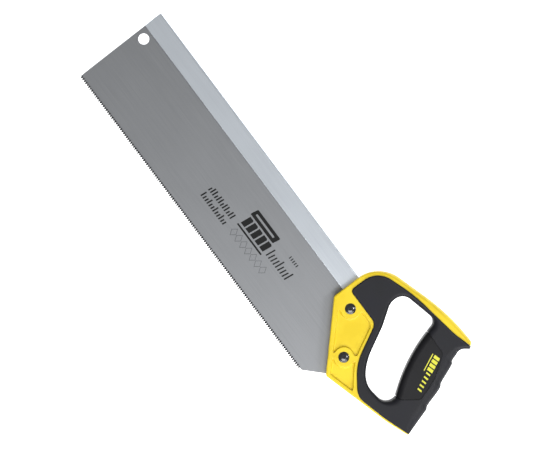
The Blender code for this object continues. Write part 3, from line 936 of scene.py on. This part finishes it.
def dome_profile():
    """Grow and height pairs of a head, from its brim to near its middle."""
    points = [(HEAD_RADIUS - 0.12, 0), (HEAD_RADIUS, 0.12), (HEAD_RADIUS, 0.62),
              (HEAD_RADIUS - 0.14, 0.76), (HEAD_RADIUS - 0.5, 0.84)]
    brim, rise = HEAD_RADIUS - 0.7, HEAD_HEIGHT - 0.9
    for step in range(11):
        angle = math.pi / 2 * step / 11
        points.append((brim * math.cos(angle), 0.9 + rise * math.sin(angle) ** 0.9))
    return points


def fastener(name, site, side, shank, length):
    """A head with its shank or sleeve, seated in its counterbore on one side of the handle."""
    profile = [(shank, -length), (shank, -0.01)] + dome_profile()
    rings = [[(*point, side * (SEAT + height)) for point in circle(site, radius, 64)]
             for radius, height in profile]
    head = loft(name, [rings], FROM_HEEL)
    hexagon = circle(site, SOCKET_RADIUS, 6)
    floor = SEAT + HEAD_HEIGHT - SOCKET_DEPTH
    carve(head, [bar("socket", hexagon, *sorted((side * floor, side * FAR)))])
    return tidied(head, 30)


through = 2 * SEAT
fasteners = {}
for level, site in (("upper", UPPER_SCREW), ("lower", LOWER_SCREW)):
    fasteners["screw_" + level] = fastener("screw_head_" + level, site, 1, SHANK_RADIUS,
                                           through - SHANK_STOP)
    nut = fastener("nut_head_" + level, site, -1, SLEEVE_RADIUS, through - SLEEVE_STOP)
    bore = bar("bore", circle(site, SHANK_RADIUS + FIT_GAP), -SEAT + BORE_STOP, FAR)
    fasteners["nut_" + level] = tidied(carve(nut, [bore]), 30)

# %% [markdown]
# ## Print on the blade
# A saw blade carries printed marks. These are neutral ones: a filled tab, a row of slanted
# bars, a rule of ticks and a line of open diamonds, with no letters. A decal could be painted
# by a texture, but thin shapes laid on the steel keep their crisp edge at any distance, and
# ink does stand on the metal by a few hundredths of a millimetre.

# %% Printed shapes
INK = (0.006, 0.03)   # heights of the ink above the steel


def leaning_box(x, y, width, height, lean=0.0, cut=0.0):
    """A box whose sides lean by an amount over its height; cut bevels two opposite corners."""
    points = [(x, y), (x + width, y), (x + width + lean, y + height - cut)]
    if cut:
        points.append((x + width + lean - cut, y + height))
    return [Vector(point) for point in points + [(x + lean, y + height)]]


def printed(name, shapes):
    """One piece from many flat printed shapes; a pair of outlines makes a frame."""
    made = []
    for shape in shapes:
        loops = [[[(*point, blade_half + height) for point in outline] for height in INK]
                 for outline in (shape if isinstance(shape, tuple) else (shape,))]
        made.append(loft(name, loops, FROM_TOE))
    return joined(name, made)


def joined(name, made):
    """Many small pieces as one mesh."""
    shape = bmesh.new()
    for piece in made:
        shape.from_mesh(piece.data)
        bpy.data.objects.remove(piece)
    return as_piece(name, shape)


def diamond(x, y, wide, tall):
    """A diamond round a point."""
    return [Vector(p) for p in ((x - wide, y), (x, y - tall), (x + wide, y), (x, y + tall))]


tab = rounded([(203, 52.6, 1.2), (238.4, 52.6, 1.2), (240, 61, 1.2), (204.6, 61, 1.2)])
slit = rounded([(207, 55.8, 0.5), (234.6, 55.8, 0.5), (235, 57.8, 0.5), (207.4, 57.8, 0.5)])
dark_shapes = [(tab, slit)]
dark_shapes += [leaning_box(204.2 + 7.3 * n, 40.2, 5.7, 10.8, 1.2, 1.2) for n in range(5)]
dark_shapes.append(leaning_box(203, 36.4, 37.5, 1.7, 0.2))
dark_shapes += [leaning_box(243.2 + 3.6 * n, 40.6, 1.4, 10.2 if n % 4 == 0 else 7.2, 1.2)
                for n in range(9)]
dark_shapes += [leaning_box(160 + 3.1 * n, 34, 1.5, 6.5 if n % 3 else 4.2, 0.6)
                for n in range(12)]
dark_shapes += [leaning_box(160 + 3.1 * n, 25, 1.5, 4.2 if n % 3 else 6.5, 0.6)
                for n in range(12)]
dark_shapes += [leaning_box(259 + 2.6 * n, 56.5, 1.0, 3.2) for n in range(5)]
dark_print = printed("print_dark", dark_shapes)
outlines = [(diamond(207.5 + 7.6 * n, 29.5, 3.6, 4.9), diamond(207.5 + 7.6 * n, 29.5, 3.1, 4.2))
            for n in range(7)]
pale_print = printed("print_outline", outlines)
print("printed shapes", len(dark_shapes), "and", len(outlines))

# %% [markdown]
# ## Mark on the grip
# A yellow mark is moulded flush into the insert, again as plain shapes. The grip's side is
# crowned, so the shapes can't be flat plates. Each is cut into a fine grid, and every point is
# dropped on to the rubber, then lifted by a few hundredths of a millimetre.

# %% Shapes that lie on a curved side
MARK_LIFT = 0.06
MARK_THICK = 0.12
MARK_GRID = 1.2


def laid_on(name, shapes, base):
    """Shapes (in millimetres from the heel point) laid on a piece's upper side."""
    rubber = base.evaluated_get(bpy.context.evaluated_depsgraph_get())
    made = []
    for shape_points in shapes:
        shape = bmesh.new()
        shape.faces.new([shape.verts.new((*point, 0)) for point in shape_points])
        middle = sum((Vector(p) for p in shape_points), Vector((0, 0))) / len(shape_points)
        for cut in range(-4, 5):
            for normal in (Vector((1, 0, 0)), Vector((0, 1, 0))):
                whole = shape.verts[:] + shape.edges[:] + shape.faces[:]
                plane = Vector((*middle, 0)) + normal * cut * MARK_GRID
                bmesh.ops.bisect_plane(shape, geom=whole, dist=1e-4, plane_co=plane,
                                       plane_no=normal)
        for vert in shape.verts:
            spot = FROM_HEEL @ Vector((vert.co.x, vert.co.y, 40))
            hit, place, *rest = rubber.ray_cast(spot, Vector((0, 0, -1)))
            vert.co = place if hit else spot
        top = bmesh.ops.extrude_face_region(shape, geom=shape.faces[:])["geom"]
        for item in top:
            if isinstance(item, bmesh.types.BMVert):
                item.co.z += MARK_LIFT * MM
        bmesh.ops.recalc_face_normals(shape, faces=shape.faces)
        lowest = [vert for vert in shape.verts if vert not in top]
        for vert in lowest:
            vert.co.z -= (MARK_THICK - MARK_LIFT) * MM
        made.append(as_piece(name, shape))
    return joined(name, made)


mark_start, mark_end = Vector((50.5, 95.0)), Vector((68.0, 57.5))
mark_way = (mark_end - mark_start).normalized()
mark_side = Vector((-mark_way.y, mark_way.x))
mark_shapes = []
for number in range(9):
    heavy = number < 4
    size = Vector((3.1, 6.0)) if heavy else Vector((1.6, 4.6))
    spot = mark_start + mark_way * (number * 4.3 + 1.5)
    bars = [(-0.5, -0.5), (0.5, -0.5), (0.5, 0.5), (-0.5, 0.5)]
    mark_shapes.append([spot + mark_way * (a * size.x + b * 0.9) + mark_side * b * size.y
                        for a, b in bars])
line_from = mark_start - mark_side * 4.6 - mark_way * 0.5
line_width, line_to = mark_side * 0.9, line_from + mark_way * 18
mark_shapes.append([line_from, line_to, line_to - line_width, line_from - line_width])
grip_mark = laid_on("grip_mark", mark_shapes, insert)
print("mark on the grip:", len(mark_shapes), "shapes")

# %% [markdown]
# ## Effects that several finishes share
# Real surfaces are never even. Steel shows the lines of the grinding belt, mouldings show the
# spark-eroded texture of their mould, and every edge is painted paler than the face beside it,
# partly as wear and partly as a painted highlight along the edge. Each effect is a node group
# with named inputs, built once. The groups put out only values, and every shader stays in its
# own material.

# %% Shared groups
def new_group(name, inputs, outputs):
    """A shader node group with named float and vector inputs."""
    group = bpy.data.node_groups.new(name, "ShaderNodeTree")
    for label, kind, value in inputs:
        socket = group.interface.new_socket(label, in_out="INPUT", socket_type="NodeSocket" + kind)
        socket.default_value = value
    for label in outputs:
        group.interface.new_socket(label, in_out="OUTPUT", socket_type="NodeSocketFloat")
    return group, group.nodes.new("NodeGroupInput"), group.nodes.new("NodeGroupOutput")


def noise(tree, vector, scale, detail=4.0, rough=0.5):
    """A noise texture on a vector; the scale is a number or a socket."""
    made = node(tree, "ShaderNodeTexNoise", Detail=detail, Roughness=rough)
    tree.links.new(vector, made.inputs["Vector"])
    if isinstance(scale, (int, float)):
        made.inputs["Scale"].default_value = scale
    else:
        tree.links.new(scale, made.inputs["Scale"])
    return made.outputs[0]


def spread(tree, value, low, high):
    """A value mapped from low..high to 0..1, clamped."""
    made = node(tree, "ShaderNodeMapRange", From_Min=low, From_Max=high)
    tree.links.new(value, made.inputs["Value"])
    return made.outputs[0]


grinding, group_in, group_out = new_group(
    "grinding_lines", [("Vector", "Vector", (0, 0, 0)), ("Along", "Float", 20.0),
                       ("Across", "Float", 2500.0)], ["Lines", "Clouds"])
stretch = node(grinding, "ShaderNodeCombineXYZ")
scaled = node(grinding, "ShaderNodeVectorMath", operation="MULTIPLY")
given = group_in.outputs
wired(grinding, (given["Along"], stretch.inputs["X"]), (given["Across"], stretch.inputs["Y"]),
      (given["Across"], stretch.inputs["Z"]), (given["Vector"], scaled.inputs[0]),
      (stretch.outputs[0], scaled.inputs[1]))
wired(grinding, (noise(grinding, scaled.outputs[0], 1.0, 6, 0.65), group_out.inputs["Lines"]),
      (noise(grinding, given["Vector"], 22.0, 4, 0.55), group_out.inputs["Clouds"]))

skin, group_in, group_out = new_group(
    "moulded_skin", [("Vector", "Vector", (0, 0, 0)), ("Grain", "Float", 2500.0),
                     ("Patches", "Float", 60.0)], ["Height", "Patch"])
cells = node(skin, "ShaderNodeTexVoronoi", feature="SMOOTH_F1")
given = group_in.outputs
fine = noise(skin, given["Vector"], given["Grain"], 3, 0.6)
patches = noise(skin, given["Vector"], given["Patches"], 5, 0.6)
wired(skin, (given["Vector"], cells.inputs["Vector"]), (given["Grain"], cells.inputs["Scale"]))
wired(skin, (sums(skin, "ADD", cells.outputs["Distance"], fine), group_out.inputs["Height"]),
      (patches, group_out.inputs["Patch"]))

# Edges paler than the faces beside them: partly wear, partly a painted highlight along each edge.
wear_and_highlight_group, group_in, group_out = new_group(
    "edge_wear_and_highlight", [("Vector", "Vector", (0, 0, 0)), ("Width", "Float", 0.0006),
                  ("Broken", "Float", 400.0)], ["Edge"])
soft = node(wear_and_highlight_group, "ShaderNodeBevel", samples=4)
plain = node(wear_and_highlight_group, "ShaderNodeNewGeometry")
facing = node(wear_and_highlight_group, "ShaderNodeVectorMath", operation="DOT_PRODUCT")
given = group_in.outputs
wired(wear_and_highlight_group, (given["Width"], soft.inputs["Radius"]), (soft.outputs[0], facing.inputs[0]),
      (plain.outputs["Normal"], facing.inputs[1]))
turned_away = sums(wear_and_highlight_group, "SUBTRACT", 1.0, facing.outputs["Value"])
broken = noise(wear_and_highlight_group, given["Vector"], given["Broken"], 4, 0.6)
wear_and_highlight = sums(wear_and_highlight_group, "MULTIPLY", spread(wear_and_highlight_group, turned_away, 0.0, 0.12),
            spread(wear_and_highlight_group, broken, 0.35, 0.65))
wired(wear_and_highlight_group, (wear_and_highlight, group_out.inputs["Edge"]))
print("groups", [group.name for group in (grinding, skin, wear_and_highlight_group)])

# %% [markdown]
# ## Finishes
# Each finish is one Principled shader. A short helper sets its plain numbers on the sockets
# themselves, and others mix two colours or turn a height into a bump. All patterns read Object
# coordinates, which are metres here, so a scale of 1000 is about one grain to the millimetre.

# %% Helpers for materials
def linear(*levels):
    """A colour from screen levels of 0 to 255."""
    shares = [level / 255 for level in levels]
    return [s / 12.92 if s <= 0.04045 else ((s + 0.055) / 1.055) ** 2.4 for s in shares]


def new_finish(name, **numbers):
    """A material with its shader's constant sockets set, and its Object coordinates."""
    material = bpy.data.materials.get(name) or bpy.data.materials.new(name)
    material.use_nodes = True
    tree = material.node_tree
    shader = tree.nodes["Principled BSDF"]
    for label, value in numbers.items():
        shader.inputs[label.replace("_", " ")].default_value = value
    coordinates = tree.nodes.new("ShaderNodeTexCoord")
    return material, tree, shader, coordinates.outputs["Object"]


def placed(tree, group, vector, **numbers):
    """A shared group in a material, with this finish's own values."""
    made = tree.nodes.new("ShaderNodeGroup")
    made.node_tree = group
    tree.links.new(vector, made.inputs["Vector"])
    for label, value in numbers.items():
        made.inputs[label.replace("_", " ")].default_value = value
    return made.outputs


def mixed(tree, share, first, second):
    """A colour between two, each a list of three levels or a socket."""
    made = node(tree, "ShaderNodeMix", data_type="RGBA")
    tree.links.new(share, made.inputs["Factor"])
    for socket, colour in zip((made.inputs[6], made.inputs[7]), (first, second)):
        if isinstance(colour, list):
            socket.default_value = (*colour, 1)
        else:
            tree.links.new(colour, socket)
    return made.outputs[2]


def ranged(tree, share, low, high):
    """A number from low to high, by a share of 0 to 1."""
    made = node(tree, "ShaderNodeMapRange", To_Min=low, To_Max=high)
    tree.links.new(share, made.inputs["Value"])
    return made.outputs[0]


def bumped(tree, shader, height, distance, strength):
    """Feeds a height, in metres times the distance, to the shader's normal."""
    made = node(tree, "ShaderNodeBump", Strength=strength, Distance=distance)
    tree.links.new(height, made.inputs["Height"])
    tree.links.new(made.outputs[0], shader.inputs["Normal"])


# %% Steel finishes
def ground_steel(name, dark, light, rough, along=18.0, across=2600.0, depth=0.000012,
                 wear_and_highlight_width=0.0004, wear_and_highlight_share=0.6):
    """Belt-ground steel: fine lines along the blade, soft clouds, and edges painted brighter,
    partly wear and partly a painted highlight.
    """
    material, tree, shader, vector = new_finish(name, Metallic=1.0)
    lines = placed(tree, grinding, vector, Along=along, Across=across)
    edge = placed(tree, wear_and_highlight_group, vector, Width=wear_and_highlight_width)
    streaks = spread(tree, lines["Lines"], 0.3, 0.7)
    # The pale edge colour is partly wear and partly a painted highlight along the edges.
    wear_and_highlight = sums(tree, "MULTIPLY", edge["Edge"], wear_and_highlight_share)
    colour = mixed(tree, wear_and_highlight, mixed(tree, streaks, dark, light), linear(240, 243, 247))
    tree.links.new(colour, shader.inputs["Base Color"])
    uneven = sums(tree, "ADD", sums(tree, "MULTIPLY", streaks, 0.5),
                  sums(tree, "MULTIPLY", lines["Clouds"], 0.5))
    tree.links.new(ranged(tree, uneven, *rough), shader.inputs["Roughness"])
    bumped(tree, shader, lines["Lines"], depth, 0.35)
    return material


blade_steel = ground_steel("blade_steel", linear(140, 142, 145), linear(150, 152, 155),
                           (0.38, 0.46))
# The spine's edges are painted nearly white: partly wear, partly a painted highlight along the
# fold.
spine_steel = ground_steel("bright_spine", linear(226, 233, 241), linear(235, 242, 249),
                           (0.26, 0.34), along=10.0, across=1500.0, wear_and_highlight_width=0.0011,
                           wear_and_highlight_share=0.9)

# Hardened points: nearly black at the tip, and dark grey where they meet the plate
hardened, tree, shader, vector = new_finish("hardened_teeth", Metallic=0.5,
                                            Specular_IOR_Level=0.2)
lines = placed(tree, grinding, vector, Along=900.0, Across=900.0)
split = tree.nodes.new("ShaderNodeSeparateXYZ")
tree.links.new(vector, split.inputs[0])
dark_to = blade_low.y + 0.9 * MM
grey_from = blade_low.y + (TOOTH_DEPTH + ROOT) * MM
height = spread(tree, split.outputs["Y"], dark_to, grey_from)
edge_of_heat = sums(tree, "ADD", height, sums(tree, "MULTIPLY", lines["Lines"], 0.35))
colour = mixed(tree, spread(tree, edge_of_heat, 0.35, 1.25), linear(12, 12, 14),
               linear(44, 45, 47))
tree.links.new(colour, shader.inputs["Base Color"])
tree.links.new(ranged(tree, lines["Lines"], 0.35, 0.6), shader.inputs["Roughness"])
bumped(tree, shader, lines["Lines"], 0.00001, 0.4)
print("steels ready")

# %% [markdown]
# The plastics differ mostly in their skin. The core is a hard semi-gloss moulding with a very
# fine texture. The rubber is matt with a coarser grain. Every moulding's edges are painted paler,
# partly where hands rub them and partly as a painted highlight. The insert is smoother and darker.
# The screws are blackened steel, and the ink is nearly matt.

# %% Plastic, rubber, screws and ink
def moulded(name, deep, bright, rough, grain, depth, wear_and_highlight, wear_and_highlight_share, **numbers):
    """A moulded finish: patches of tone, fine skin texture, and edges painted paler, partly rubbed
    wear and partly a painted highlight.
    """
    material, tree, shader, vector = new_finish(name, **numbers)
    texture = placed(tree, skin, vector, Grain=grain, Patches=45.0)
    edge = placed(tree, wear_and_highlight_group, vector, Width=0.0008, Broken=260.0)
    patch = spread(tree, texture["Patch"], 0.35, 0.65)
    # Edges painted paler: partly rubbed wear, partly a painted highlight.
    rubbed_and_highlight = sums(tree, "MULTIPLY", edge["Edge"], wear_and_highlight_share)
    colour = mixed(tree, rubbed_and_highlight, mixed(tree, patch, deep, bright), wear_and_highlight)
    tree.links.new(colour, shader.inputs["Base Color"])
    tree.links.new(ranged(tree, patch, *rough), shader.inputs["Roughness"])
    bumped(tree, shader, texture["Height"], depth, 0.5)
    return material


# The core's pale yellow edges are a painted highlight along its rims as well as wear.
yellow = moulded("yellow_plastic", linear(211, 183, 10), linear(220, 193, 16), (0.36, 0.46),
                 1800.0, 0.00002, linear(250, 232, 110), 0.5, Specular_IOR_Level=0.5)
rubber = moulded("black_rubber", linear(12, 13, 19), linear(18, 19, 27), (0.5, 0.62),
                 1500.0, 0.00005, linear(64, 65, 70), 0.2, Specular_IOR_Level=0.32)
palm = moulded("palm_insert", linear(8, 8, 12), linear(13, 13, 18), (0.44, 0.54),
               2400.0, 0.00003, linear(56, 57, 61), 0.1, Specular_IOR_Level=0.27)
black_screw = moulded("blackened_screw", linear(12, 12, 15), linear(20, 20, 24), (0.14, 0.2),
                      2600.0, 0.000001, linear(90, 92, 96), 0.4, Specular_IOR_Level=0.9)
dark_ink = moulded("dark_ink", linear(14, 15, 15), linear(22, 23, 23), (0.5, 0.65),
                   3000.0, 0.000004, linear(60, 60, 62), 0.3, Specular_IOR_Level=0.2)
pale_ink = moulded("pale_ink", linear(80, 81, 84), linear(92, 93, 96), (0.5, 0.65),
                   3000.0, 0.000004, linear(130, 130, 132), 0.3, Specular_IOR_Level=0.2)
yellow_mark = moulded("yellow_mark", linear(196, 194, 40), linear(208, 206, 56), (0.45, 0.6),
                      1800.0, 0.00001, linear(240, 240, 140), 0.3)
print("mouldings and inks ready")

# %% [markdown]
# ## Pieces on the frame
# Every visible piece stands for one solid of the frame. It gets its finish and the body that it
# rides on. The saw has no moving parts, so that body is always the same one.

# %% Dress the frame
def dress(piece, material, slot_name, *stands_for):
    """Gives a piece its finish and its body, and hides the frame's solids it stands for; the slot
    name is not used.
    """
    piece.data.materials.clear()
    piece.data.materials.append(material)
    for face in piece.data.polygons:
        face.material_index = 0
    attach(piece, "root")
    if stands_for:
        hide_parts(*stands_for)


dress(plate, blade_steel, "blade_steel", "blade")
dress(teeth, hardened, "blade_steel")
dress(spine, spine_steel, "spine_steel", "spine")
dress(core, yellow, "yellow_plastic", "handle_core")
dress(cover, rubber, "black_rubber", "grip_cover")
dress(insert, palm, "insert_rubber", "grip_insert")
dress(dark_print, dark_ink, "screw_black")
dress(pale_print, pale_ink, "spine_steel")
dress(grip_mark, yellow_mark, "yellow_plastic")
for name, piece in fasteners.items():
    dress(piece, black_screw, "screw_black", name)

# %% [markdown]
# ## Studio
# The saw lies on a plain white floor, seen from straight above. A wide soft light hangs
# towards the handle, so the steel darkens gently towards the toe. A smaller one low behind the
# handle and one beside the spine draw the edges. The pale sky keeps the shadows faint. It dims
# a little towards the horizon, which gives low views some depth.

# %% Floor, lights and camera
FLOOR_REACH = 3.0
SKY_LOW, SKY_HIGH = 0.32, 0.42   # strengths of the sky at the horizon and overhead
around = [Vector((x, y, 0)) * FLOOR_REACH for x, y in ((-1, -1), (1, -1), (1, 1), (-1, 1))]
floor_mesh = bpy.data.meshes.new("floor")
floor_mesh.from_pydata(around, [], [(0, 1, 2, 3)])
floor_piece = in_scene("floor", floor_mesh)
floor_mesh.materials.append(new_finish(
    "floor_paint", Roughness=0.9, Base_Color=(0.96, 0.96, 0.96, 1),
    Emission_Color=(1, 1, 1, 1), Emission_Strength=1.1)[0])

world = bpy.data.worlds.new("studio")
world.use_nodes = True
sky = world.node_tree
upward = node(sky, "ShaderNodeSeparateXYZ")
glow = node(sky, "ShaderNodeMapRange", From_Min=0.0, From_Max=0.9, To_Min=SKY_LOW, To_Max=SKY_HIGH)
wired(sky, (node(sky, "ShaderNodeTexCoord").outputs["Generated"], upward.inputs[0]),
      (upward.outputs["Z"], glow.inputs["Value"]),
      (glow.outputs[0], sky.nodes["Background"].inputs["Strength"]))
sky.nodes["Background"].inputs["Color"].default_value = (1, 1, 1, 1)
bpy.context.scene.world = world


def soft_light(name, place, aim, width, depth, power):
    """A rectangular light that looks at a point."""
    lamp = bpy.data.lights.new(name, "AREA")
    lamp.shape = "RECTANGLE"
    lamp.size, lamp.size_y, lamp.energy = width, depth, power
    light = in_scene(name, lamp)
    light.location = place
    light.rotation_euler = (Vector(aim) - Vector(place)).to_track_quat("-Z", "Y").to_euler()


middle = (cad_low + cad_high) / 2
soft_light("key", (1.05, -0.8, 1.8), middle, 1.4, 1.4, 42)
soft_light("back", (1.5, -0.1, 0.8), middle, 0.8, 0.5, 9)
soft_light("side", (0.6, 0.85, 1.3), middle, 0.3, 0.3, 8)

CAMERA_DISTANCE = 2.925
TURN = math.radians(53.15)    # how far the saw is turned in the picture
VIEW_MIDDLE = (225.8, 65.0)   # from the toe corner
lens = bpy.data.cameras.new("camera")
lens.lens = 200
lens.sensor_width = 36
lens.clip_end = 20
camera = in_scene("camera", lens)
camera.location = FROM_TOE @ Vector((*VIEW_MIDDLE, 0)) + Vector((0, 0, CAMERA_DISTANCE))
camera.rotation_euler = (0, 0, TURN)
bpy.context.scene.camera = camera
bpy.context.scene.view_settings.view_transform = "Standard"
print("camera at", [round(value, 3) for value in camera.location])

# %% The end
bpy.context.view_layer.update()
